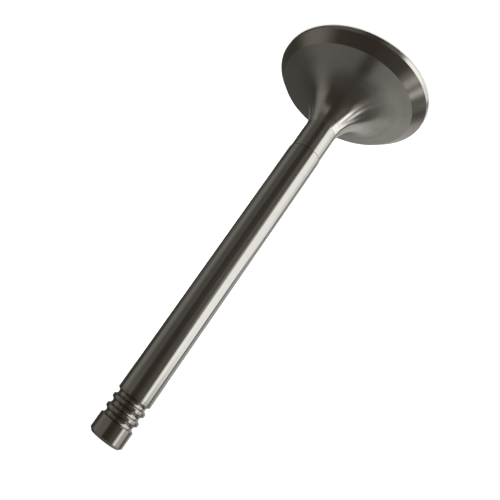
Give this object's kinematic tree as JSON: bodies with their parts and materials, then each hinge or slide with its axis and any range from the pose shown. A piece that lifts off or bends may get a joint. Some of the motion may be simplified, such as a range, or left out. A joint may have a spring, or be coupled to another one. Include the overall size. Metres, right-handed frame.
{
  "type": "engine valve",
  "caption": "One-piece engine poppet valve: flat head with a conical seat face, hollow tulip neck, ground stem, rounded keeper grooves near a chamfered tip.",
  "frame": {"origin": "centre of the combustion face, the flat face of the head that the valve stands on", "axes": "+Z along the stem from the head to the tip; the form is the same all round Z"},
  "size_m": [0.042, 0.042, 0.1134],
  "materials": {
    "valve_steel": "bare steel: ground and polished stem, ground seat face and margin, finely turned satin underside"
  },
  "bodies": {
    "root": {"engine_valve": "valve_steel"}
  },
  "joints": []
}
